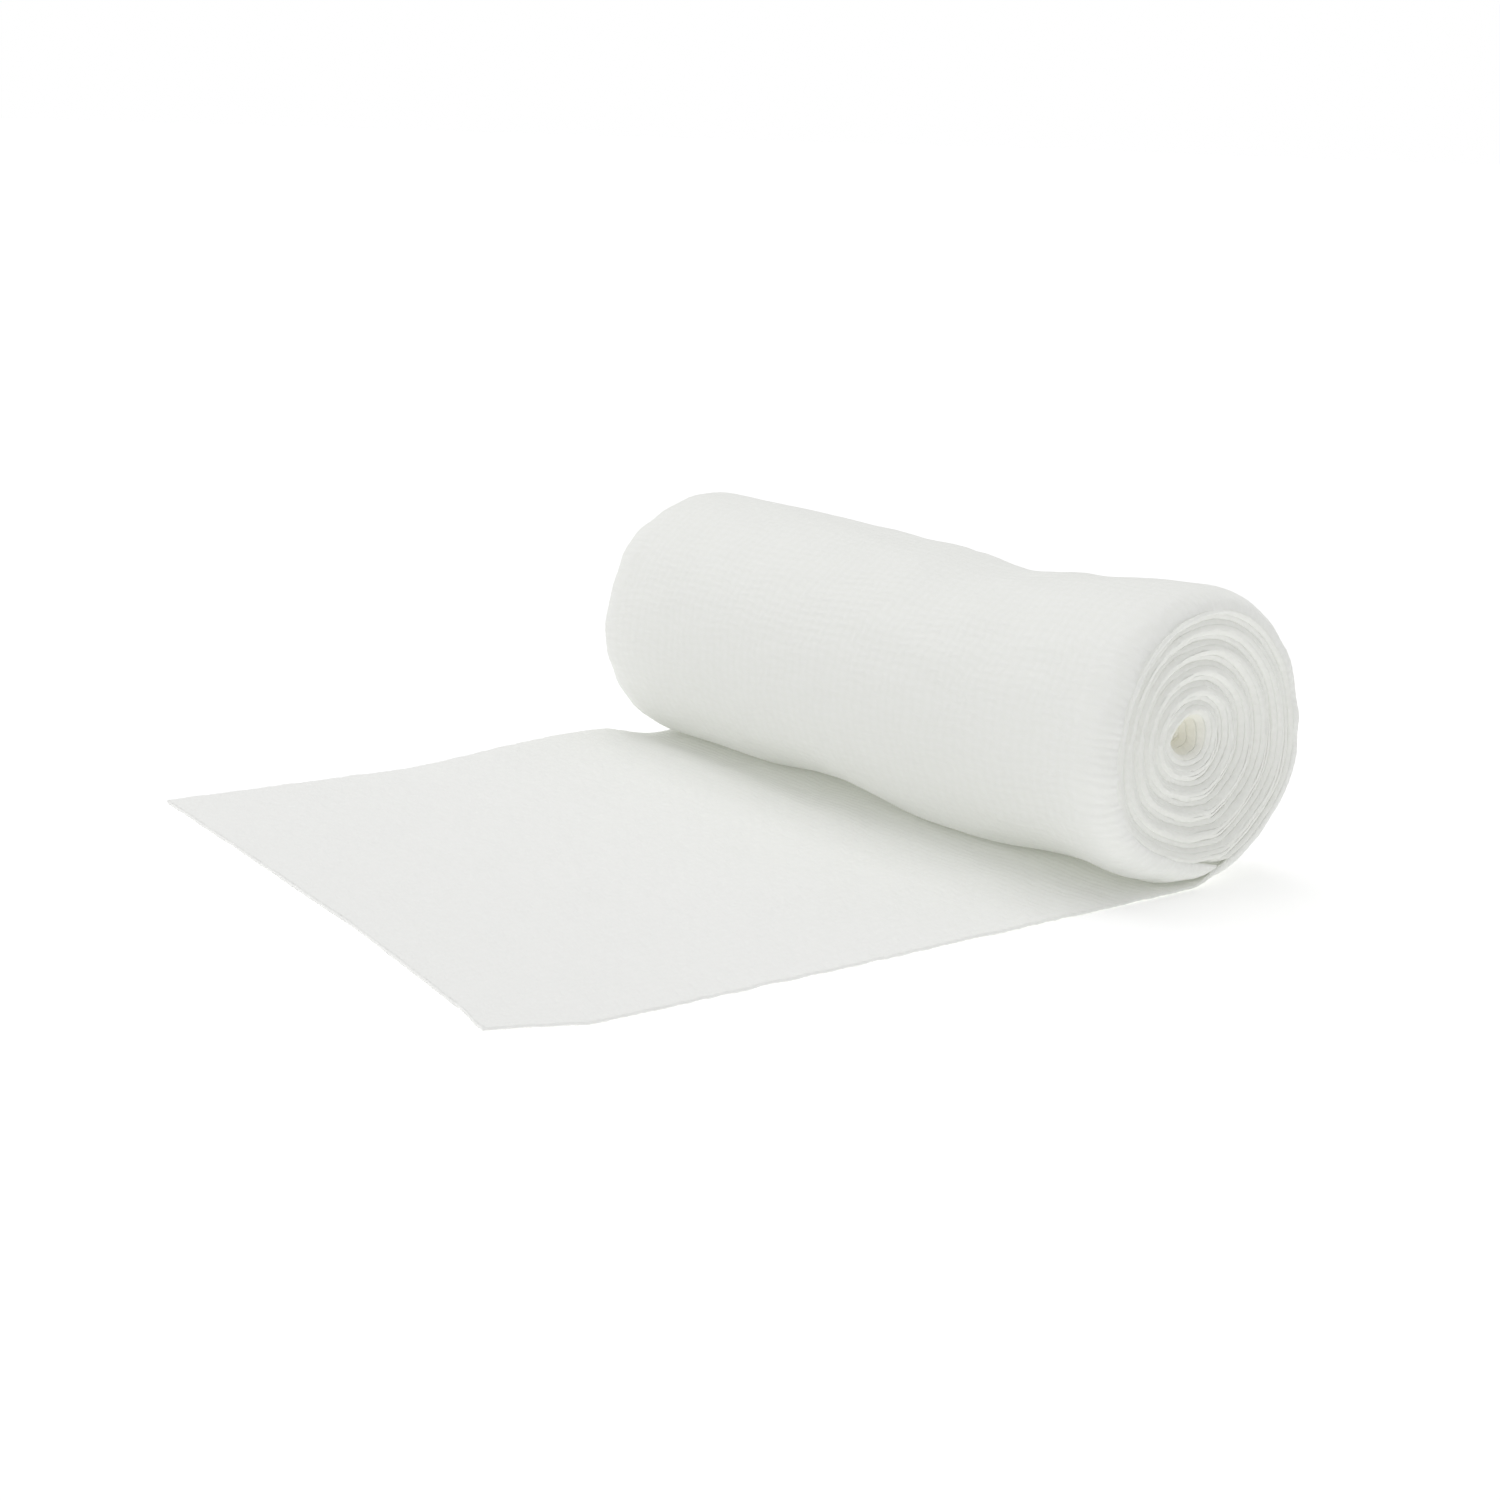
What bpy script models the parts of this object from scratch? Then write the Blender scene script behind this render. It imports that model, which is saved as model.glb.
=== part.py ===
"""A gauze bandage roll that lies on its side, with its loose end unrolled on the surface in front of it.

Frame: metres, +Z up. X runs along the roll's axis, which is also across the bandage. The loose end runs
towards -Y. The origin is the bottom centre of the bounding box.

While a piece is worked out, x and y count from the middle of the roll's axis. Angles go round the roll
from its lowest line, up its back (+Y), over the top (180) and down its front, as the cloth is wound.
"""

from collections import namedtuple

import bpy
import numpy as np

# Driving sizes.
BANDAGE_WIDTH = 0.100
ROLL_RADIUS = 0.01805
AXIS_HEIGHT = 0.01785  # a little less than the radius, which leaves a small flat spot
CLOTH = 0.0012
GAP = 0.0003
HALF_WIDTH = BANDAGE_WIDTH / 2

# The loose end leaves the roll low on its back and passes under it.
LEAVING_ANGLE = 35.0
LEAVING_GAP = np.degrees(GAP / ROLL_RADIUS)
STEP_ANGLE = 2.0

# The ends of the roll stand out a little and have soft shoulders, a spiral of main turns, and a small
# hollow off the centre.
SHOULDER = 0.0036
NEAR_BULGE = 0.0016  # how far the wound ends stand out past the selvedges of the loose end
FAR_BULGE = 0.0023
TURN_SHARE = 0.135
TURN_DEPTH = 0.0009
TURNS_MIDDLE_SHARE = 0.55
TURNS_SPAN_SHARE = 0.45
DISH_DEPTH = 0.0008
HOLLOW_SHIFT_Y = -0.0033
HOLLOW_SHIFT_Z = 0.0024

# How finely each surface is divided.
ROLL_COLUMNS = 48
TURN_ROWS = 19
SHOULDER_ROWS = 5
BARREL_ROWS = 21
HUG_ROWS = 6
LAID_ROWS = 26
ACROSS_COLUMNS = 20

# Looks of the solids.
ROLLED_COLOUR = (0.860, 0.865, 0.840)
LAID_COLOUR = (0.860, 0.865, 0.850)
ROUGHNESS = 0.95
SHARP_ANGLE = np.radians(40)

Swell = namedtuple("Swell", "name along along_span angle angle_span height")
SWELLS = [
    Swell("far end swells on top", -0.045, 0.050, 175, 90, 0.0007),
    Swell("waist across the top", 0.015, 0.0125, 162, 85, -0.0012),
    Swell("near end flares on top", 0.047, 0.022, 195, 65, 0.0018),
    Swell("near end swells at the back", 0.050, 0.025, 75, 35, 0.0008),
    Swell("near end swells, upper back", 0.054, 0.022, 140, 60, 0.0010),
    Swell("far end flat, high on the front", -0.050, 0.014, 205, 18, -0.0003),
    Swell("far end flat, front", -0.050, 0.014, 252, 24, -0.0006),
    Swell("low front dip", -0.010, 0.016, 335, 40, -0.0010),
    Swell("low front belly", 0.015, 0.016, 335, 40, 0.0008),
    Swell("second low front dip", 0.037, 0.012, 335, 40, -0.0009),
    Swell("near end tucks in below", 0.053, 0.010, 340, 45, -0.0014),
]

HollowRow = namedtuple("HollowRow", "share inset")
HOLLOW = [
    HollowRow(0.05, 0.0060),
    HollowRow(0.09, 0.0040),
    HollowRow(0.13, 0.0020),
]
FACE_START_SHARE = 0.17
FACE_EVENING = 4  # the outline's swells and step die out quickly towards the middle of an end

Lift = namedtuple("Lift", "name across along across_span roll_side_span end_side_span height")
LIFTS = [
    Lift("far selvedge stands off the surface", -0.050, -0.020, 0.070, 0.0115, 0.034, 0.0018),
    Lift("near corner turns up", 0.050, -0.098, 0.014, 0.012, 0.012, 0.0003),
]

CutPoint = namedtuple("CutPoint", "across length")
CUT_END = [
    CutPoint(-0.050, 0.0866),
    CutPoint(0.010, 0.0928),
    CutPoint(0.016, 0.0937),
    CutPoint(0.050, 0.0988),
]

SelvedgePoint = namedtuple("SelvedgePoint", "length_share far_outwards near_inwards")
SELVEDGES = [
    SelvedgePoint(0.00, 0.0, 0.0),
    SelvedgePoint(0.60, 0.0, 0.0),
    SelvedgePoint(0.90, 0.0012, 0.0006),
    SelvedgePoint(1.00, 0.0017, 0.0045),
]
FAR_SELVEDGE_SPAN = 0.050
NEAR_SELVEDGE_SPAN = 0.012


def bump(distance):
    """A smooth hump, 1 in the middle and exactly 0 from a distance of 1 outwards: (1 - d^2)^2."""
    return np.where(distance < 1, (1 - distance**2) ** 2, 0.0)


def flattened(radius, angle, height):
    """Limits a radius so that the circle stays above a level that lies height below the axis."""
    down = np.cos(np.radians(angle))
    return np.minimum(radius, height / np.maximum(down, height / (2 * radius)))


def roll_radius(angle, along):
    """Radius of the wound form: its swells, its flat spot, and the thinner stretch the loose end hugs."""
    radius = np.full(np.broadcast(angle, along).shape, ROLL_RADIUS)
    for swell in SWELLS:
        turn = (angle - swell.angle + 180) % 360 - 180
        distance = np.hypot((along - swell.along) / swell.along_span, turn / swell.angle_span)
        radius = radius + swell.height * bump(distance)
    room = CLOTH + GAP
    radius = flattened(radius, angle, AXIS_HEIGHT - room)
    hugged = flattened(np.full(radius.shape, ROLL_RADIUS - room), angle, AXIS_HEIGHT - room)
    return np.where(angle >= 360, hugged, radius)


def roll_columns():
    """Angles round the roll, from just past the loose end's root to just before it, one turn on."""
    start = LEAVING_ANGLE + LEAVING_GAP + STEP_ANGLE
    return np.linspace(start, start + 360 - STEP_ANGLE, ROLL_COLUMNS)


def end_rows():
    """Rows of one end as shares of the radius and insets: hollow, face with main turns, shoulder."""
    face = np.linspace(FACE_START_SHARE, 1 - SHOULDER / ROLL_RADIUS, TURN_ROWS)
    bend = np.linspace(0, np.pi / 2, SHOULDER_ROWS + 1)[1:]
    shares = [row.share for row in HOLLOW]
    shares.extend(face)
    shares.extend(1 - (SHOULDER / ROLL_RADIUS) * (1 - np.sin(bend)))
    insets = [row.inset for row in HOLLOW]
    insets.extend(DISH_DEPTH * (1 - face))
    insets.extend(SHOULDER * (1 - np.cos(bend)))
    return np.array(shares)[:, None], np.array(insets)[:, None]


def end_grid(side):
    """One end of the roll, from its hollow to its shoulder, at +X for side 1 and at -X for side -1."""
    angle = roll_columns()[None, :]
    share, inset = end_rows()
    on_face = bump(np.abs(share - TURNS_MIDDLE_SHARE) / TURNS_SPAN_SHARE)
    groove = 0.5 - 0.5 * np.cos(2 * np.pi * (share / TURN_SHARE + angle / 360))
    inset = inset + TURN_DEPTH * groove * np.sqrt(on_face)
    bulge = NEAR_BULGE if side > 0 else FAR_BULGE
    along = side * (HALF_WIDTH + bulge - inset)
    unevenness = (roll_radius(angle, along) - ROLL_RADIUS) * share**FACE_EVENING
    radius = share * (ROLL_RADIUS + unevenness)
    turn = np.radians(angle)
    y = radius * np.sin(turn) + (1 - share) * HOLLOW_SHIFT_Y
    z = AXIS_HEIGHT - radius * np.cos(turn) + (1 - share) * HOLLOW_SHIFT_Z
    return np.stack([along, y, z], axis=-1)


def barrel_grid():
    """The side of the roll between its shoulders, from the +X end to the -X end."""
    angle = roll_columns()[None, :]
    reach = HALF_WIDTH - SHOULDER
    along = np.linspace(reach, -reach, BARREL_ROWS + 2)[1:-1, None]
    radius = roll_radius(angle, along)
    turn = np.radians(angle)
    along = np.broadcast_to(along, radius.shape)
    return np.stack([along, radius * np.sin(turn), AXIS_HEIGHT - radius * np.cos(turn)], axis=-1)


def wound_roll_mesh():
    """One closed skin: near end, barrel and far end, with a flat floor in each hollow."""
    grid = np.concatenate([end_grid(1), barrel_grid(), end_grid(-1)[::-1]])
    rows, columns = grid.shape[:2]
    index = np.arange(rows * columns).reshape(rows, columns)
    onward = np.roll(index, -1, axis=1)
    quads = np.stack([index[:-1], index[1:], onward[1:], onward[:-1]], axis=-1).reshape(-1, 4)
    faces = quads.tolist() + [index[0].tolist(), index[-1, ::-1].tolist()]
    return grid.reshape(-1, 3), faces


def laid_rows(across):
    """The part of the loose end that lies on the surface: plan position and height of its underside."""
    share = np.linspace(0, 1, LAID_ROWS + 1)[1:, None]
    length = np.interp(across, [p.across for p in CUT_END], [p.length for p in CUT_END])
    y = -share * length
    shares = [p.length_share for p in SELVEDGES]
    far = np.interp(share, shares, [p.far_outwards for p in SELVEDGES])
    near = np.interp(share, shares, [p.near_inwards for p in SELVEDGES])
    far_side = bump((across + HALF_WIDTH) / FAR_SELVEDGE_SPAN)
    near_side = bump((HALF_WIDTH - across) / NEAR_SELVEDGE_SPAN)
    x = across - far * far_side - near * near_side
    height = np.zeros(x.shape)
    for lift in LIFTS:
        along_span = np.where(y > lift.along, lift.roll_side_span, lift.end_side_span)
        distance = np.hypot((x - lift.across) / lift.across_span, (y - lift.along) / along_span)
        height = height + lift.height * bump(distance)
    return x, y, height


def loose_tail_grids():
    """Underside and upper side of the loose end, from its root on the roll's back to its cut end."""
    across = np.linspace(-HALF_WIDTH, HALF_WIDTH, ACROSS_COLUMNS + 1)[None, :]
    angle = np.linspace(LEAVING_ANGLE, 0, HUG_ROWS + 1)[:, None]
    turn = np.radians(angle)
    laid_x, laid_y, laid_height = laid_rows(across)
    sides = []
    for depth in (0.0, CLOTH):
        full = np.full(angle.shape, ROLL_RADIUS - depth)
        radius = flattened(full, angle, AXIS_HEIGHT - depth)
        hug_x = np.broadcast_to(across, (HUG_ROWS + 1, ACROSS_COLUMNS + 1))
        hug_y = np.broadcast_to(radius * np.sin(turn), hug_x.shape)
        hug_z = np.broadcast_to(AXIS_HEIGHT - radius * np.cos(turn), hug_x.shape)
        hug = np.stack([hug_x, hug_y, hug_z], axis=-1)
        laid = np.stack([laid_x, laid_y, laid_height + depth], axis=-1)
        sides.append(np.concatenate([hug, laid]))
    return sides


def loose_tail_mesh():
    """The two sides of the sheet joined round their rim."""
    under, upper = loose_tail_grids()
    rows, columns = under.shape[:2]
    low = np.arange(rows * columns).reshape(rows, columns)
    high = low + rows * columns
    top = np.stack([high[:-1, :-1], high[1:, :-1], high[1:, 1:], high[:-1, 1:]], axis=-1)
    bottom = np.stack([low[:-1, :-1], low[:-1, 1:], low[1:, 1:], low[1:, :-1]], axis=-1)
    rim = np.concatenate([low[0, :], low[1:, -1], low[-1, -2::-1], low[-2:0:-1, 0]])
    onward = np.roll(rim, -1)
    rise = rows * columns
    wall = np.stack([rim, rim + rise, onward + rise, onward], axis=-1)
    faces = np.concatenate([top.reshape(-1, 4), bottom.reshape(-1, 4), wall])
    return np.concatenate([under.reshape(-1, 3), upper.reshape(-1, 3)]), faces.tolist()


def gauze_material(name, colour):
    """Matt off-white cotton gauze."""
    material = bpy.data.materials.new(name)
    material.use_nodes = True
    shader = material.node_tree.nodes["Principled BSDF"]
    shader.inputs["Base Color"].default_value = (*colour, 1.0)
    shader.inputs["Roughness"].default_value = ROUGHNESS
    return material


def add_piece(name, points, faces, shift, material):
    """Adds one closed mesh as an object of this name, moved by shift from the roll's frame."""
    mesh = bpy.data.meshes.new(name)
    mesh.from_pydata((points + shift).tolist(), [], faces)
    mesh.materials.append(material)
    mesh.shade_smooth()
    mesh.set_sharp_from_angle(angle=SHARP_ANGLE)
    mesh.update()
    bpy.context.scene.collection.objects.link(bpy.data.objects.new(name, mesh))


def build():
    """Clears the scene and adds the wound roll and its loose end round the common origin."""
    for thing in list(bpy.data.objects):
        bpy.data.objects.remove(thing)
    roll_points, roll_faces = wound_roll_mesh()
    tail_points, tail_faces = loose_tail_mesh()
    everything = np.concatenate([roll_points, tail_points])
    middle = (everything.min(axis=0) + everything.max(axis=0)) / 2
    shift = np.array([-middle[0], -middle[1], 0.0])
    roll_gauze = gauze_material("rolled gauze", ROLLED_COLOUR)
    tail_gauze = gauze_material("laid gauze", LAID_COLOUR)
    add_piece("wound_roll", roll_points, roll_faces, shift, roll_gauze)
    add_piece("loose_tail", tail_points, tail_faces, shift, tail_gauze)


build()
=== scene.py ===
"""Looks of the gauze bandage roll: one long strip of open cotton gauze, wound up, its end laid out flat.

Lengths are metres. While a piece is worked out, x and y count from the middle of the roll's axis and z from
the surface. Winding angles are degrees: 0 is the roll's lowest line, 90 its back, 180 its top, 270 its
front, and they go on growing as the strip winds inwards.
"""

from collections import namedtuple

import bpy
import numpy as np
from mathutils import Matrix, Vector


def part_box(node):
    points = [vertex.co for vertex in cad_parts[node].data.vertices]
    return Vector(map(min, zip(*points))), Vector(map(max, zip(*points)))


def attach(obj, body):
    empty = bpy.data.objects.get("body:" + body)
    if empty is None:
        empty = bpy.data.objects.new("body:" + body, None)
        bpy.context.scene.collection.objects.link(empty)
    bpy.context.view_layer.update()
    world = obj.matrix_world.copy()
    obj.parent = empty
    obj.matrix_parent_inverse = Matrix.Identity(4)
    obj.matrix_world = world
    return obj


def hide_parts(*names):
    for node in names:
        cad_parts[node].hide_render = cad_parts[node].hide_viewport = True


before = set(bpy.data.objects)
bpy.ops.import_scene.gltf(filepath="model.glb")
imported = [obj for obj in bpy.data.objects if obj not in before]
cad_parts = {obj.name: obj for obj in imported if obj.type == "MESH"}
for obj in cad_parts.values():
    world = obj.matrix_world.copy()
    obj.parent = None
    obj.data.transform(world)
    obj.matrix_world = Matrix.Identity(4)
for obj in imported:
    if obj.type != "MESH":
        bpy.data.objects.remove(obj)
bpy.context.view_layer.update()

# The studio: a white floor, a white room of soft light, and a large soft lamp above and behind. The camera
# looks down a little at the front and the +X end of the roll.
tail_low, tail_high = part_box("loose_tail")
HALF_WIDTH = 0.050
CUT_LENGTH = 0.0988
MIDDLE = Vector((tail_high.x - HALF_WIDTH, tail_low.y + CUT_LENGTH, 0.0))

CAMERA_PLACE = Vector((0.2484, -0.2279, 0.0887))
CAMERA_AZIMUTH = 51.39
CAMERA_ELEVATION = 13.74
CAMERA_ROLL = 1.86
CAMERA_LENS = 60.67
CAMERA_SENSOR = 36.0
CAMERA_CLIP = 0.01
FLOOR_SIZE = 40.0
FLOOR_COLOUR = (0.97, 0.97, 0.97, 1.0)
FLOOR_GLOW = 0.22
FAR_FLOOR_GLOW = 0.50
FLOOR_GLOW_PLACES = (0.3, 1.5)
HORIZON_STRENGTH = 1.0
CEILING_STRENGTH = 0.86
CEILING_HEIGHTS = (0.06, 0.25)
END_SHADE = 0.62
END_DIRECTIONS = (0.1, 0.9)
LIGHT_BOUNCES = 16
LAMP_PLACE = Vector((-0.30, 0.05, 0.88))
LAMP_SIZE = 0.8
LAMP_POWER = 3.05


class Value:
    """One output of a shader node. Arithmetic on it adds the Math node that works it out."""

    def __init__(self, nodes, socket):
        self.nodes = nodes
        self.socket = socket

    def math(self, operation, *values):
        return self.nodes.add("ShaderNodeMath", {"operation": operation}, dict(enumerate(values)))

    def __add__(self, other):
        return self.math("ADD", self, other)

    __radd__ = __add__

    def __rsub__(self, other):
        return self.math("SUBTRACT", other, self)

    def __mul__(self, other):
        return self.math("MULTIPLY", self, other)

    __rmul__ = __mul__

    def math_of(self, operation):
        return self.math(operation, self)

    def ramp(self, low, high):
        """Rises smoothly from 0 at low to 1 at high."""
        limits = {"Value": self, "From Min": low, "From Max": high}
        return self.nodes.add("ShaderNodeMapRange", {"interpolation_type": "SMOOTHSTEP"}, limits)


class Nodes:
    """The nodes of a material or a world. One method adds any node: its settings first, then its inputs."""

    def __init__(self, owner):
        owner.use_nodes = True
        self.tree = owner.node_tree

    def feed(self, node, inputs):
        for key, value in inputs.items():
            if isinstance(value, Value):
                self.tree.links.new(value.socket, node.inputs[key])
            else:
                node.inputs[key].default_value = value

    def add(self, kind, settings=None, inputs=None, output=0):
        node = self.tree.nodes.new(kind)
        for key, value in (settings or {}).items():
            setattr(node, key, value)
        self.feed(node, inputs or {})
        return Value(self, node.outputs[output])

    def set(self, name, inputs):
        self.feed(self.tree.nodes[name], inputs)


def camera_matrix(azimuth, elevation, roll, place):
    """The camera's matrix, turned by azimuth round Z, then elevation, then roll round the line of sight."""
    a, e, r = np.radians([azimuth, elevation, roll])
    back = Vector((np.sin(a) * np.cos(e), -np.cos(a) * np.cos(e), np.sin(e)))
    level = Vector((np.cos(a), np.sin(a), 0.0))
    upright = back.cross(level)
    right = level * np.cos(r) + upright * np.sin(r)
    up = upright * np.cos(r) - level * np.sin(r)
    turn = Matrix((right, up, back)).transposed().to_4x4()
    return Matrix.Translation(place) @ turn


camera_data = bpy.data.cameras.new("camera")
camera_data.sensor_width = CAMERA_SENSOR
camera_data.lens = CAMERA_LENS
camera_data.clip_start = CAMERA_CLIP
camera = bpy.data.objects.new("camera", camera_data)
camera.matrix_world = camera_matrix(CAMERA_AZIMUTH, CAMERA_ELEVATION, CAMERA_ROLL, MIDDLE + CAMERA_PLACE)
bpy.context.scene.collection.objects.link(camera)
bpy.context.scene.camera = camera

lamp_data = bpy.data.lights.new("lamp", "AREA")
lamp_data.size = LAMP_SIZE
lamp_data.energy = LAMP_POWER
lamp = bpy.data.objects.new("lamp", lamp_data)
lamp.location = LAMP_PLACE
lamp.rotation_euler = (MIDDLE - LAMP_PLACE).to_track_quat("-Z", "Y").to_euler()
bpy.context.scene.collection.objects.link(lamp)

room = bpy.data.worlds.new("room")
room_nodes = Nodes(room)
direction = room_nodes.add("ShaderNodeTexCoord", output="Generated")
along_roll = room_nodes.add("ShaderNodeSeparateXYZ", inputs={"Vector": direction}, output="X")
height = room_nodes.add("ShaderNodeSeparateXYZ", inputs={"Vector": direction}, output="Z")
above = height.ramp(*CEILING_HEIGHTS)
end_on = along_roll.math_of("ABSOLUTE").ramp(*END_DIRECTIONS)
darker = HORIZON_STRENGTH - CEILING_STRENGTH + END_SHADE * end_on
strength = HORIZON_STRENGTH - above * darker
room_nodes.set("Background", {"Color": (1.0, 1.0, 1.0, 1.0), "Strength": strength})
bpy.context.scene.world = room
bpy.context.scene.view_settings.view_transform = "Standard"
bpy.context.scene.cycles.max_bounces = LIGHT_BOUNCES
bpy.context.scene.cycles.diffuse_bounces = LIGHT_BOUNCES

floor_data = bpy.data.meshes.new("floor")
half = FLOOR_SIZE / 2
floor_corners = [(-half, -half, 0), (half, -half, 0), (half, half, 0), (-half, half, 0)]
floor_data.from_pydata(floor_corners, [], [(0, 1, 2, 3)])
floor_paint = bpy.data.materials.new("floor paint")
floor_nodes = Nodes(floor_paint)
floor_place = floor_nodes.add("ShaderNodeTexCoord", output="Object")
away = floor_nodes.add("ShaderNodeVectorMath", {"operation": "LENGTH"}, {"Vector": floor_place}, "Value")
near_share = FLOOR_GLOW / FAR_FLOOR_GLOW
floor_finish = {
    "Base Color": FLOOR_COLOUR,
    "Roughness": 1.0,
    "Emission Color": near_share + (1 - near_share) * away.ramp(*FLOOR_GLOW_PLACES),
    "Emission Strength": FAR_FLOOR_GLOW,
}
floor_nodes.set("Principled BSDF", floor_finish)
floor_data.materials.append(floor_paint)
floor = bpy.data.objects.new("floor", floor_data)
bpy.context.scene.collection.objects.link(floor)

# The outer turn and the loose end: one stretch of the strip, which comes from under the roll's front, goes
# over it and down its back, and lies out on the surface to its cut end. Open plain weave of soft cotton
# yarn; where the turn is wound tight, its selvedges curl in over the ends of the roll.
ROLL_RADIUS = 0.01805
AXIS_HEIGHT = 0.01785
GAUZE = 0.00042
WARP_PITCH = 0.0016
WEFT_PITCH = 0.0012
RIB_HEIGHT = 0.00004
ROWS_A_WEFT = 4
SHOULDER = 0.0033
NEAR_BULGE = 0.0016
FAR_BULGE = 0.0023
JOIN_ANGLE = 402.0
JOIN_DEPTH = 0.0006
SINKING_ANGLES = (320, 385)
CURL_ANGLES = (0, 24)
CURL_POWER = 3
TURN_PITCH = 0.00060
COVERED_TURNS = 4
COVERED_INSET = 0.0018
COVERED_REACH = 0.98
SELVEDGE_TUCK = 0.0003
TUCK_START = 1.2
END_POWER = 8
REST_HEIGHT = 0.00075
LEAVING_ANGLE = 35.0
RIPPLE_WAVES = 16
TURN_SHARE = 0.135
TURN_DEPTH = 0.0007
TURNS_MIDDLE_SHARE = 0.52
TURNS_SPAN_SHARE = 0.50
DISH_DEPTH = 0.0008
HOLLOW_WALL = 0.0015
HOLLOW_MOUTH = 0.0034
HOLLOW_DEPTH = 0.0026
EDGE_PLACES = [0.0, 0.00006, 0.0002, 0.0004, 0.0007, 0.0011, 0.0016, 0.0021, 0.0026, 0.0032, 0.0040]
COLUMNS_BETWEEN = 36

Uneven = namedtuple("Uneven", "size first_length second_length seed")
SELVEDGE_WAVE = Uneven(0.00004, 0.13, 3.0, 11)
SELVEDGE_FRAY = Uneven(0.00002, 0.03, 3.0, 12)
WARP_WANDER = Uneven(0.22, 0.030, 0.012, 3)
WEFT_WANDER = Uneven(0.30, 0.016, 0.020, 4)
CRINKLE = Uneven(0.00006, 0.020, 0.007, 5)

Swell = namedtuple("Swell", "name along along_span angle angle_span height")
SWELLS = [
    Swell("far end swells on top", -0.045, 0.050, 175, 90, 0.0007),
    Swell("waist across the top", 0.015, 0.0125, 162, 85, -0.0012),
    Swell("near end flares on top", 0.047, 0.022, 195, 65, 0.0018),
    Swell("near end swells at the back", 0.050, 0.025, 75, 35, 0.0008),
    Swell("near end swells, upper back", 0.054, 0.022, 140, 60, 0.0010),
    Swell("far end flat, high on the front", -0.050, 0.014, 205, 18, -0.0003),
    Swell("far end flat, front", -0.050, 0.014, 252, 24, -0.0006),
    Swell("low front dip", -0.010, 0.016, 335, 40, -0.0010),
    Swell("low front belly", 0.015, 0.016, 335, 40, 0.0008),
    Swell("second low front dip", 0.037, 0.012, 335, 40, -0.0009),
    Swell("near end tucks in below", 0.053, 0.010, 340, 45, -0.0014),
]

Lift = namedtuple("Lift", "name across along across_span roll_side_span end_side_span height")
LIFTS = [
    Lift("far selvedge stands off the surface", -0.050, -0.020, 0.070, 0.0115, 0.034, 0.0018),
    Lift("near corner turns up", 0.050, -0.098, 0.014, 0.012, 0.012, 0.0003),
]

CutPoint = namedtuple("CutPoint", "across length")
CUT_END = [
    CutPoint(-0.050, 0.0866),
    CutPoint(0.010, 0.0928),
    CutPoint(0.016, 0.0937),
    CutPoint(0.050, CUT_LENGTH),
]

SelvedgePoint = namedtuple("SelvedgePoint", "length_share far_outwards near_inwards")
SELVEDGES = [
    SelvedgePoint(0.00, 0.0, 0.0),
    SelvedgePoint(0.60, 0.0, 0.0),
    SelvedgePoint(0.90, 0.0012, 0.0006),
    SelvedgePoint(1.00, 0.0017, 0.0045),
]
FAR_SELVEDGE_SPAN = 0.050
NEAR_SELVEDGE_SPAN = 0.012

Cotton = namedtuple("Cotton", "yarn pore other other_yarns other_share yarn_relief")
LAID_COTTON = Cotton(
    yarn=(0.870, 0.875, 0.854, 1.0),
    pore=(0.830, 0.840, 0.804, 1.0),
    # other is painted light: a paler colour over the laid end as it runs out from the roll, standing for the
    # light that soaks through from the bright floor.
    other=(0.935, 0.935, 0.925, 1.0),
    other_yarns=(104.0, 156.0),
    other_share=0.6,
    yarn_relief=0.00008,
)
LOOSENESS = {"Scale": 420.0, "Detail": 2.0}
FUZZ = {"Scale": 3800.0, "Detail": 3.0}
PATCHES = {"Scale": 70.0, "Detail": 2.0}
WARP_LOOSENESS = 0.5
WEFT_LOOSENESS = 0.35
YARN_TONE = 0.4
FUZZ_TONE = 0.3
PATCH_TONE = 0.3
FUZZ_RELIEF = 0.5
FUZZ_ROUGHNESS = 0.15
COTTON_SHEEN_AND_PAINTED_GLOW = {
    # Emission Strength is a painted glow: the cloth glows faintly though it is no lamp, which lifts the
    # shade in the crease under the roll.
    "Emission Strength": 0.055,
    "Sheen Weight": 0.25,
    "Sheen Roughness": 0.6,
    "Specular IOR Level": 0.15,
}


def bump(distance):
    """A smooth hump, 1 in the middle and 0 from a distance of 1 outwards: (1 - d^2)^2."""
    return np.where(distance < 1, (1 - distance**2) ** 2, 0.0)


def ease(low, high, value):
    """Rises smoothly from 0 at low to 1 at high: 3t^2 - 2t^3."""
    t = np.clip((value - low) / (high - low), 0, 1)
    return t * t * (3 - 2 * t)


def ripple(u, v, uneven):
    """Unevenness of a given size: a sum of sine waves in scattered directions, scaled to unit variance."""
    draw = np.random.default_rng(uneven.seed)
    total = np.zeros(np.broadcast(u, v).shape)
    for u_turns, v_turns, phase in draw.normal(size=(RIPPLE_WAVES, 3)):
        waves = u * u_turns / uneven.first_length + v * v_turns / uneven.second_length
        total = total + np.sin(2 * np.pi * (waves + phase))
    return uneven.size * total / np.sqrt(RIPPLE_WAVES / 2)


def outline(angle, along, fade=1.0):
    """Radius of the wound form at a winding angle and a place along the axis: the circle plus its swells,
    each a hump of its height over the distance, in spans, from its middle."""
    radius = np.full(np.broadcast(angle, along).shape, ROLL_RADIUS)
    for swell in SWELLS:
        turn = (angle - swell.angle + 180) % 360 - 180
        distance = np.hypot((along - swell.along) / swell.along_span, turn / swell.angle_span)
        radius = radius + fade * swell.height * bump(distance)
    return radius


def flattened(radius, angle, height):
    """Limits a radius to height / cos(angle), so that nothing comes lower than height below the axis."""
    down = np.cos(np.radians(angle))
    return np.minimum(radius, height / np.maximum(down, height / (2 * radius)))


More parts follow.
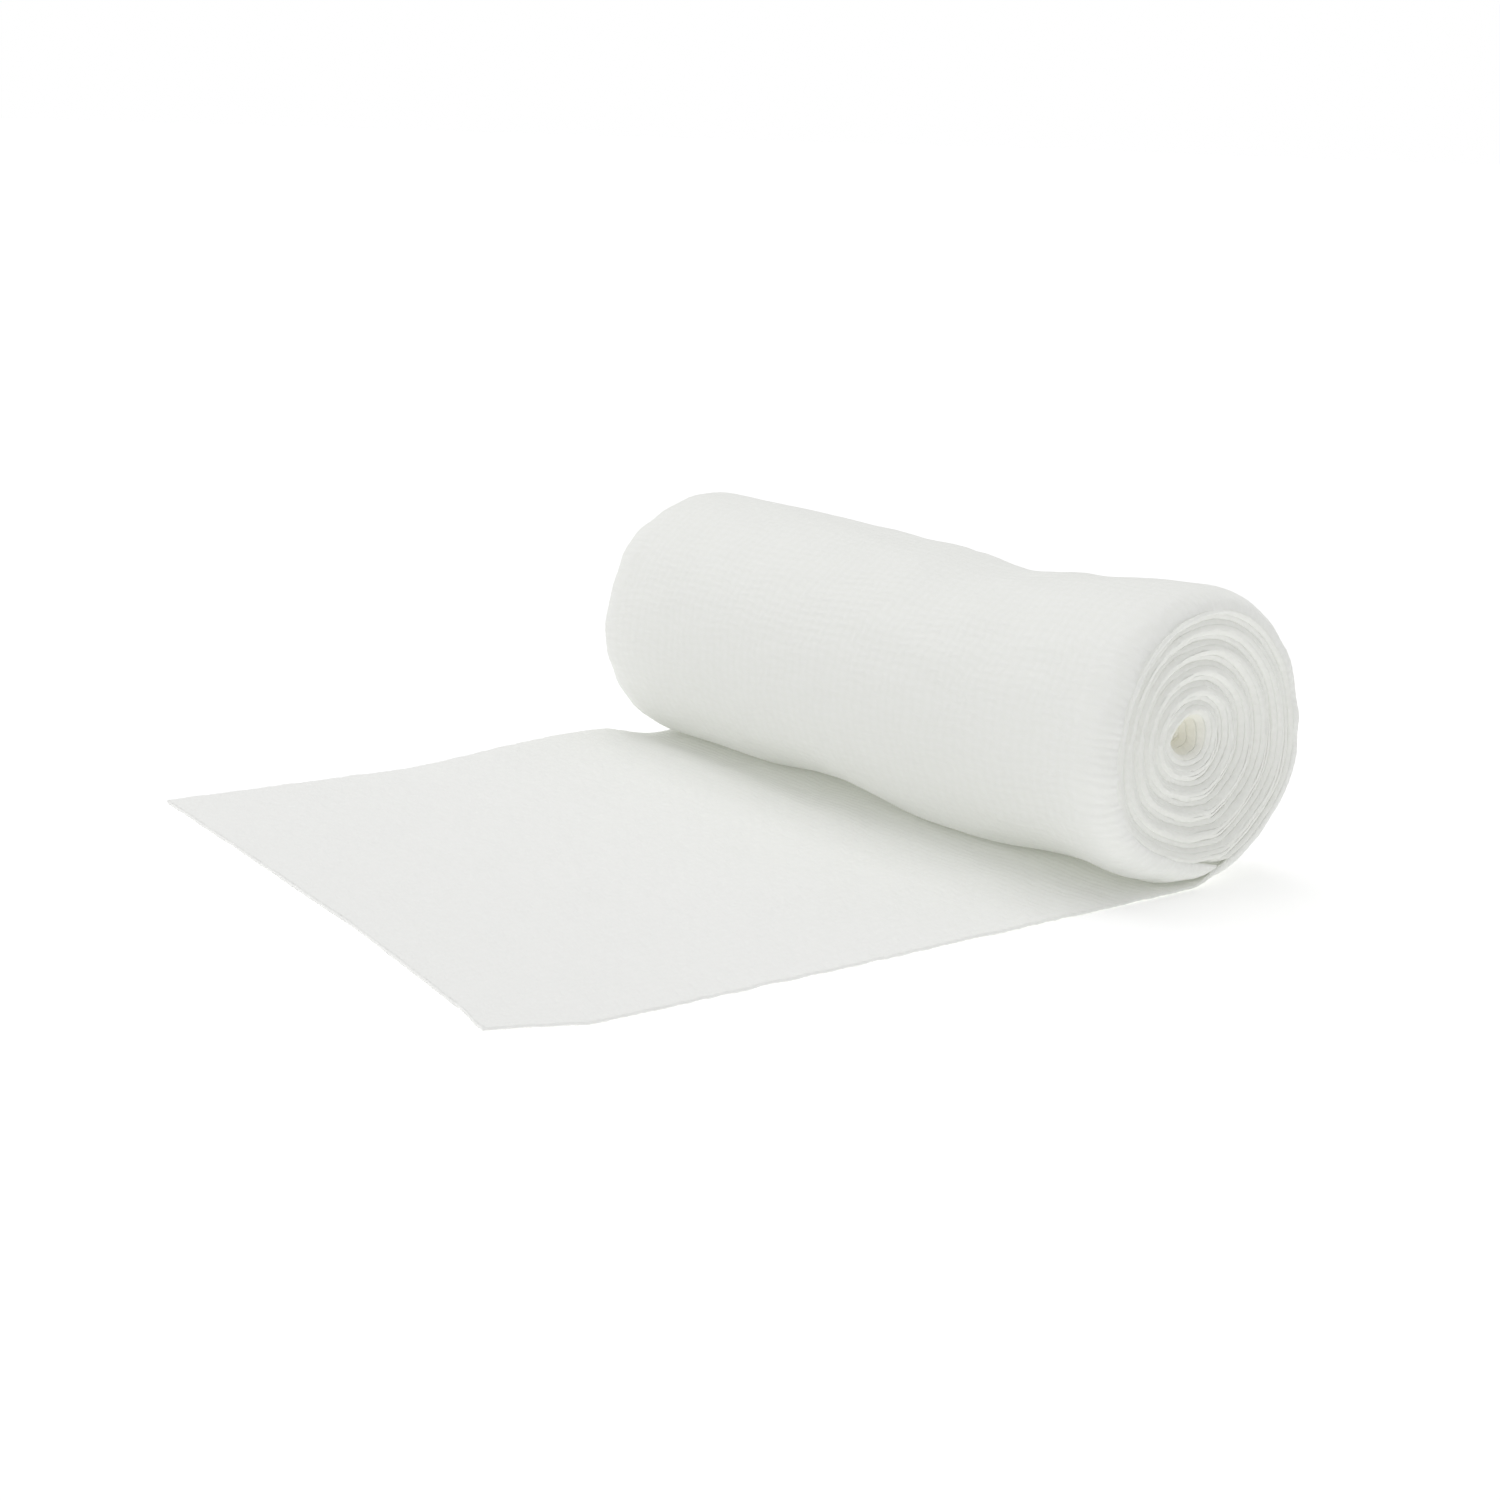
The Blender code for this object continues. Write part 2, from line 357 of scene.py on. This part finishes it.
def strip_columns():
    """Flat places across the strip from its middle: close together at the selvedges, even in between."""
    edge = np.array(EDGE_PLACES)
    inner = np.linspace(HALF_WIDTH - edge[-1], -HALF_WIDTH + edge[-1], COLUMNS_BETWEEN + 2)[1:-1]
    return np.concatenate([edge - HALF_WIDTH, inner[::-1], (HALF_WIDTH - edge)[::-1]])[None, :]


def bulge(along):
    """How far the wound ends stand out past the selvedges of the flat strip: more at the far end."""
    return np.where(along > 0, NEAR_BULGE, FAR_BULGE)


def winding_depth(angle):
    """Depth of the strip below the wound form's outline: it sinks to its join, then by a pitch a turn."""
    sinking = JOIN_DEPTH * ease(*SINKING_ANGLES, angle)
    return sinking + TURN_PITCH * np.maximum(angle - JOIN_ANGLE, 0) / 360


def end_hollows(level, angle):
    """How far the end of the roll stands back at a distance from its middle: a shallow dish, the small
    hollow, and the main rings, which are grooves along a spiral: (1 - cos)/2 of the share of the radius,
    over the share between rings, plus the turns."""
    share = level / ROLL_RADIUS
    ring = 0.5 - 0.5 * np.cos(2 * np.pi * (share / TURN_SHARE + angle / 360))
    rings = TURN_DEPTH * ring * np.sqrt(bump(np.abs(share - TURNS_MIDDLE_SHARE) / TURNS_SPAN_SHARE))
    return DISH_DEPTH * (1 - share) + rings + HOLLOW_DEPTH * ease(HOLLOW_MOUTH, HOLLOW_WALL, level)


def selvedges(angle, across):
    """Place along the axis and extra depth of a point of the strip, by its winding angle and flat place.
    In the outermost turn the selvedges curl in over the turns beneath: a quarter ellipse that ends at the
    depth of the first turn left uncovered. The turns it covers stand back and keep below it by the same
    ellipse, and the other turns show their edge."""
    inside = ease(*CURL_ANGLES, angle - 360)
    covered = inside * (1 - ease(*CURL_ANGLES, angle - 360 * COVERED_TURNS))
    curl = ease(*CURL_ANGLES, angle) * (1 - inside)
    level = ROLL_RADIUS - winding_depth(angle)
    side = np.sign(across)
    reach = winding_depth(angle + 360 * COVERED_TURNS)
    bend = np.clip((np.abs(across) - (HALF_WIDTH - SHOULDER)) / SHOULDER, 0, 1) * np.pi / 2
    outwards = (SHOULDER + bulge(across)) * np.sin(bend) - SHOULDER * bend / (np.pi / 2)
    inwards = end_hollows(ROLL_RADIUS - reach, angle) * np.sin(bend) ** CURL_POWER
    tuck = SELVEDGE_TUCK * ease(TUCK_START, np.pi / 2, bend)
    drop = (reach - winding_depth(angle)) * (1 - np.cos(bend)) + tuck
    inset = (
        end_hollows(level + TURN_PITCH / 2, angle) / 2
        + end_hollows(level - TURN_PITCH / 2, angle) / 2
        + COVERED_INSET * covered
        + ripple(angle / 360, side, SELVEDGE_WAVE)
        + ripple(angle / 360, side, SELVEDGE_FRAY)
    )
    set_back = (bulge(across) - inset) * (np.abs(across) / HALF_WIDTH) ** END_POWER
    x = across + side * (curl * (outwards - inwards) + inside * set_back)
    from_shoulder = (np.abs(x) - (HALF_WIDTH - SHOULDER)) / (SHOULDER + bulge(x))
    from_shoulder = np.clip(from_shoulder, 0, COVERED_REACH)
    under_curl = COVERED_TURNS * TURN_PITCH * (1 - np.sqrt(1 - from_shoulder**2))
    return x, curl * drop + covered * under_curl


def wound_stretch(angle, across):
    """Outer side of the strip round the roll, and what lies flat under it before it leaves the roll."""
    x, drop = selvedges(angle, across)
    radius = np.where(angle < LEAVING_ANGLE, ROLL_RADIUS, outline(angle, x) - winding_depth(angle))
    height = AXIS_HEIGHT - np.where(angle > 180, REST_HEIGHT, 0)
    radius = flattened(radius, angle, height) - drop
    turn = np.radians(angle)
    return np.stack([x, radius * np.sin(turn), AXIS_HEIGHT - radius * np.cos(turn)], axis=-1)


def laid_stretch(share, across):
    """Underside of the strip on the surface, from under the roll (share 0) to its cut end (share 1). The
    cut and the selvedges run straight from point to point, and only the humps of the lifts rise."""
    length = np.interp(across, [p.across for p in CUT_END], [p.length for p in CUT_END])
    y = -share * length
    shares = [p.length_share for p in SELVEDGES]
    far = np.interp(share, shares, [p.far_outwards for p in SELVEDGES])
    near = np.interp(share, shares, [p.near_inwards for p in SELVEDGES])
    far_side = bump((across + HALF_WIDTH) / FAR_SELVEDGE_SPAN)
    near_side = bump((HALF_WIDTH - across) / NEAR_SELVEDGE_SPAN)
    x = across - far * far_side - near * near_side
    z = np.zeros(x.shape)
    for lift in LIFTS:
        along_span = np.where(y > lift.along, lift.roll_side_span, lift.end_side_span)
        distance = np.hypot((x - lift.across) / lift.across_span, (y - lift.along) / along_span)
        z = z + lift.height * bump(distance)
    return np.stack([x, y, z], axis=-1)


def inward(side):
    """Unit normals of a grid of points, on the side of the roll's axis: the cross product of its slopes."""
    normal = np.cross(np.gradient(side, axis=0), np.gradient(side, axis=1))
    return normal / np.linalg.norm(normal, axis=-1, keepdims=True)


def rounded(across, edge):
    """Share of the full thickness near the selvedges: a quarter circle over the width of the edge."""
    inside = np.clip((HALF_WIDTH - np.abs(across)) / edge, 0, 1)
    return np.sqrt(1 - (1 - inside) ** 2)[..., None]


def strip_piece(name, outer, inner, weave, material):
    """A closed sheet from its two sides. The sides share their selvedge points, and a row of quads with a
    triangle at each corner closes both ends. weave holds the count of warp and weft yarns at each point,
    which becomes the UV map."""
    rows, columns = outer.shape[:2]
    loop = np.concatenate([outer, inner[:, -2:0:-1]], axis=1)
    counts = np.concatenate([weave, weave[:, -2:0:-1]], axis=1).reshape(-1, 2)
    around = loop.shape[1]
    index = np.arange(rows * around).reshape(rows, around)
    onward = np.roll(index, -1, axis=1)
    sides = np.stack([index[:-1], onward[:-1], onward[1:], index[1:]], axis=-1).reshape(-1, 4)
    low = np.arange(columns)
    high = np.concatenate([[0], np.arange(around - 1, columns - 1, -1), [columns - 1]])
    cap = np.stack([low[:-1], high[:-1], high[1:], low[1:]], axis=-1)
    last = (rows - 1) * around
    faces = [*sides.tolist(), *cap[1:-1].tolist(), *(cap[1:-1, ::-1] + last).tolist()]
    for start in (0, last):
        left = [start, start + high[1], start + 1]
        right = [start + columns - 2, start + high[-2], start + columns - 1]
        faces += [left, right] if start == 0 else [left[::-1], right[::-1]]
    mesh = bpy.data.meshes.new(name)
    mesh.from_pydata((loop.reshape(-1, 3) + np.array(MIDDLE)).tolist(), [], faces)
    corners = np.empty(len(mesh.loops), dtype=np.int32)
    mesh.loops.foreach_get("vertex_index", corners)
    mesh.uv_layers.new(name="yarns").data.foreach_set("uv", counts[corners].astype(np.float32).ravel())
    mesh.shade_smooth()
    mesh.materials.append(material)
    mesh.update()
    piece = bpy.data.objects.new(name, mesh)
    bpy.context.scene.collection.objects.link(piece)
    return piece


def gauze_finish(name, cotton):
    """Cotton gauze. Where the product of two cosines is high the warp lies on top, where it is low the weft
    does, and between the yarns are pores: height = cos^2(pi u)(1 + p)/2 + cos^2(pi v)(1 - p)/2, with
    p = cos(pi u) cos(pi v). Noise loosens it, and a finer noise is the fuzz of the cotton. A faint painted
    glow, the emission, lifts the shade in the creases and stands for the light that soaks through so thin a
    cloth. Over the weft counts in other_yarns the colour goes over to the other one, by its share: painted
    light on the laid end, painted shade round the hollow."""
    material = bpy.data.materials.new(name)
    nodes = Nodes(material)
    yarns = nodes.add("ShaderNodeUVMap", {"uv_map": "yarns"})
    place = nodes.add("ShaderNodeTexCoord", output="Object")
    loosen = nodes.add("ShaderNodeTexNoise", inputs={"Vector": place, **LOOSENESS})
    u = nodes.add("ShaderNodeSeparateXYZ", inputs={"Vector": yarns}, output="X")
    v = nodes.add("ShaderNodeSeparateXYZ", inputs={"Vector": yarns}, output="Y")
    u = u + loosen * WARP_LOOSENESS
    v = v + loosen * WEFT_LOOSENESS
    warp = (u * np.pi).math_of("COSINE")
    weft = (v * np.pi).math_of("COSINE")
    over = warp * weft
    height = warp * warp * (over + 1.0) * 0.5 + weft * weft * (1.0 - over) * 0.5
    fuzz = nodes.add("ShaderNodeTexNoise", inputs={"Vector": place, **FUZZ})
    patches = nodes.add("ShaderNodeTexNoise", inputs={"Vector": place, **PATCHES})
    tone = height * YARN_TONE + fuzz * FUZZ_TONE + patches * PATCH_TONE
    mix = {"data_type": "RGBA", "clamp_factor": True}
    colour = nodes.add("ShaderNodeMix", mix, {"Factor": tone, "A": cotton.pore, "B": cotton.yarn}, 2)
    # The other colour, laid over by weft count, is painted light on the laid end and painted shade round the
    # hollow.
    other = cotton.other_share * v.ramp(*cotton.other_yarns)
    colour = nodes.add("ShaderNodeMix", mix, {"Factor": other, "A": colour, "B": cotton.other}, 2)
    surface = {"Height": height + fuzz * FUZZ_RELIEF, "Distance": cotton.yarn_relief}
    finish = {
        "Base Color": colour,
        "Roughness": 1.0 - fuzz * FUZZ_ROUGHNESS,
        "Normal": nodes.add("ShaderNodeBump", inputs=surface),
        "Emission Color": colour,
        **COTTON_SHEEN_AND_PAINTED_GLOW,
    }
    nodes.set("Principled BSDF", finish)
    return material


def outer_turn():
    """Both sides of the outer turn and the loose end, and the yarn counts. A side lies half a thickness from
    the middle of the cloth, plus its weft ribs: (1 + cos(2 pi weft count))/2 of their height."""
    across = strip_columns()
    step = WEFT_PITCH / ROWS_A_WEFT
    wound_rows = int(np.radians(JOIN_ANGLE) * ROLL_RADIUS / step)
    laid_rows = int(CUT_LENGTH / step)
    angle = np.linspace(JOIN_ANGLE, 0, wound_rows + 1)[:, None]
    share = np.linspace(0, 1, laid_rows + 1)[1:, None]
    side = np.concatenate([wound_stretch(angle, across), laid_stretch(share, across)])
    rows = side.shape[0]
    length = step * np.arange(rows)[:, None] * np.ones(across.shape)
    across = across * np.ones(length.shape)
    weave = np.stack(
        [
            across / WARP_PITCH + ripple(across, length, WARP_WANDER),
            length / WEFT_PITCH + ripple(across, length, WEFT_WANDER),
        ],
        axis=-1,
    )
    normal = inward(side)
    rib = 0.5 + 0.5 * np.cos(2 * np.pi * weave[..., 1:])
    crinkle = ripple(across, length, CRINKLE)[..., None]
    laid = np.concatenate([angle < LEAVING_ANGLE, share > 0])[..., None]
    middle = side + normal * (GAUZE / 2 + RIB_HEIGHT + np.where(laid, np.abs(crinkle), crinkle))
    half_thick = normal * rounded(across, GAUZE / 2) * (GAUZE / 2 + RIB_HEIGHT * rib)
    return middle - half_thick, middle + half_thick, weave


laid_gauze = gauze_finish("laid gauze", LAID_COTTON)
outer, inner, weave = outer_turn()
strip_end = strip_piece("outer_turn_and_loose_end", outer, inner, weave, laid_gauze)
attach(strip_end, "root")
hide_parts("loose_tail")

# The inner turns: the rest of the strip, wound on itself nearly thirty times. The turns lie in bunches, so
# their selvedges make the main rings on both ends; the innermost are crushed round a small hollow.
INNER_GAUZE = 0.00066
THICKENING_ANGLES = (0, 60)
TURN_EDGE = 0.00006
INNER_EDGE_PLACES = [0.0, 0.00002, 0.00006, 0.0008, 0.0034, 0.0060]
INNER_PLACES = [-0.037, -0.024, -0.010, 0.003, 0.010, 0.016, 0.022, 0.029, 0.037]
INNER_ROWS = 2200
ROW_POWER = 1.6
CORE_RADIUS = 0.0008
HOLLOW_SHIFT_Y = -0.0033
HOLLOW_SHIFT_Z = 0.0024
ROLLED_COTTON = Cotton(
    yarn=(0.860, 0.865, 0.838, 1.0),
    pore=(0.820, 0.830, 0.785, 1.0),
    # other is painted shade: a darker, yellower colour over the innermost turns, round the hollow.
    other=(0.820, 0.810, 0.720, 1.0),
    other_yarns=(60.0, 10.0),
    other_share=1.0,
    yarn_relief=0.00006,
)

Lobe = namedtuple("Lobe", "count size phase twist")
LOBES = [
    Lobe(2, 0.00022, 3.4, 4.0),
    Lobe(3, 0.00014, 5.1, 5.0),
    Lobe(5, 0.00005, 2.2, 6.0),
]


def inner_turns():
    """Both sides of the wound strip, from the hollow outwards, the yarn counts and the strip's length. Its
    radius grows by one pitch a turn. Towards the outside the turns take on the outline's swells, and
    towards the hollow the lobes: sines of a whole number of waves a turn. The rows are evenly apart in the
    radius raised to a power. Near the selvedges each turn slants along the rings."""
    full = ROLL_RADIUS - JOIN_DEPTH
    level = np.linspace(CORE_RADIUS**ROW_POWER, full**ROW_POWER, INNER_ROWS)[:, None] ** (1 / ROW_POWER)
    angle = JOIN_ANGLE + (full - level) / TURN_PITCH * 360
    plain = level / ROLL_RADIUS
    edge = np.array(INNER_EDGE_PLACES)
    across = np.concatenate([edge - HALF_WIDTH, INNER_PLACES, (HALF_WIDTH - edge)[::-1]])[None, :]
    turn = np.radians(angle)
    step = np.gradient(turn, axis=0) * level
    length = np.cumsum(np.abs(step), axis=0)

    slant = end_hollows(level + TURN_PITCH / 2, angle) - end_hollows(level - TURN_PITCH / 2, angle)
    x, drop = selvedges(angle, across)
    radius = outline(angle, x, ease(0, 1, plain)) - (ROLL_RADIUS - level) - drop
    for lobe in LOBES:
        swing = np.sin(lobe.count * turn + lobe.phase + lobe.twist * plain)
        radius = radius + lobe.size * swing * np.sqrt(1 - plain)
    flattening = ROLL_RADIUS - (AXIS_HEIGHT - REST_HEIGHT)
    radius = flattened(radius, angle, level - flattening * plain)
    y = radius * np.sin(turn) + (1 - plain) * HOLLOW_SHIFT_Y
    z = AXIS_HEIGHT - radius * np.cos(turn) + (1 - plain) * HOLLOW_SHIFT_Z
    side = np.stack([x, y, z], axis=-1)
    normal = inward(side)
    join_thick = GAUZE + RIB_HEIGHT
    thicker = ease(*THICKENING_ANGLES, angle - JOIN_ANGLE)
    thickness = (join_thick + (INNER_GAUZE - join_thick) * thicker)[..., None]
    middle = side + normal * thickness / 2
    half_thick = normal * rounded(across, TURN_EDGE) * thickness / 2
    share = across / HALF_WIDTH
    slanted = np.sign(share) * slant / 2 * np.abs(share) ** END_POWER
    half_thick[..., 0] += slanted * rounded(across, TURN_EDGE)[..., 0]
    weave = np.stack(np.broadcast_arrays(across / WARP_PITCH, length / WEFT_PITCH), axis=-1)
    return middle - half_thick, middle + half_thick, weave, float(length[-1, 0])


rolled_gauze = gauze_finish("rolled gauze", ROLLED_COTTON)
outer, inner, weave, INNER_LENGTH = inner_turns()
core = strip_piece("inner_turns", outer, inner, weave, rolled_gauze)
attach(core, "root")
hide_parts("wound_roll")
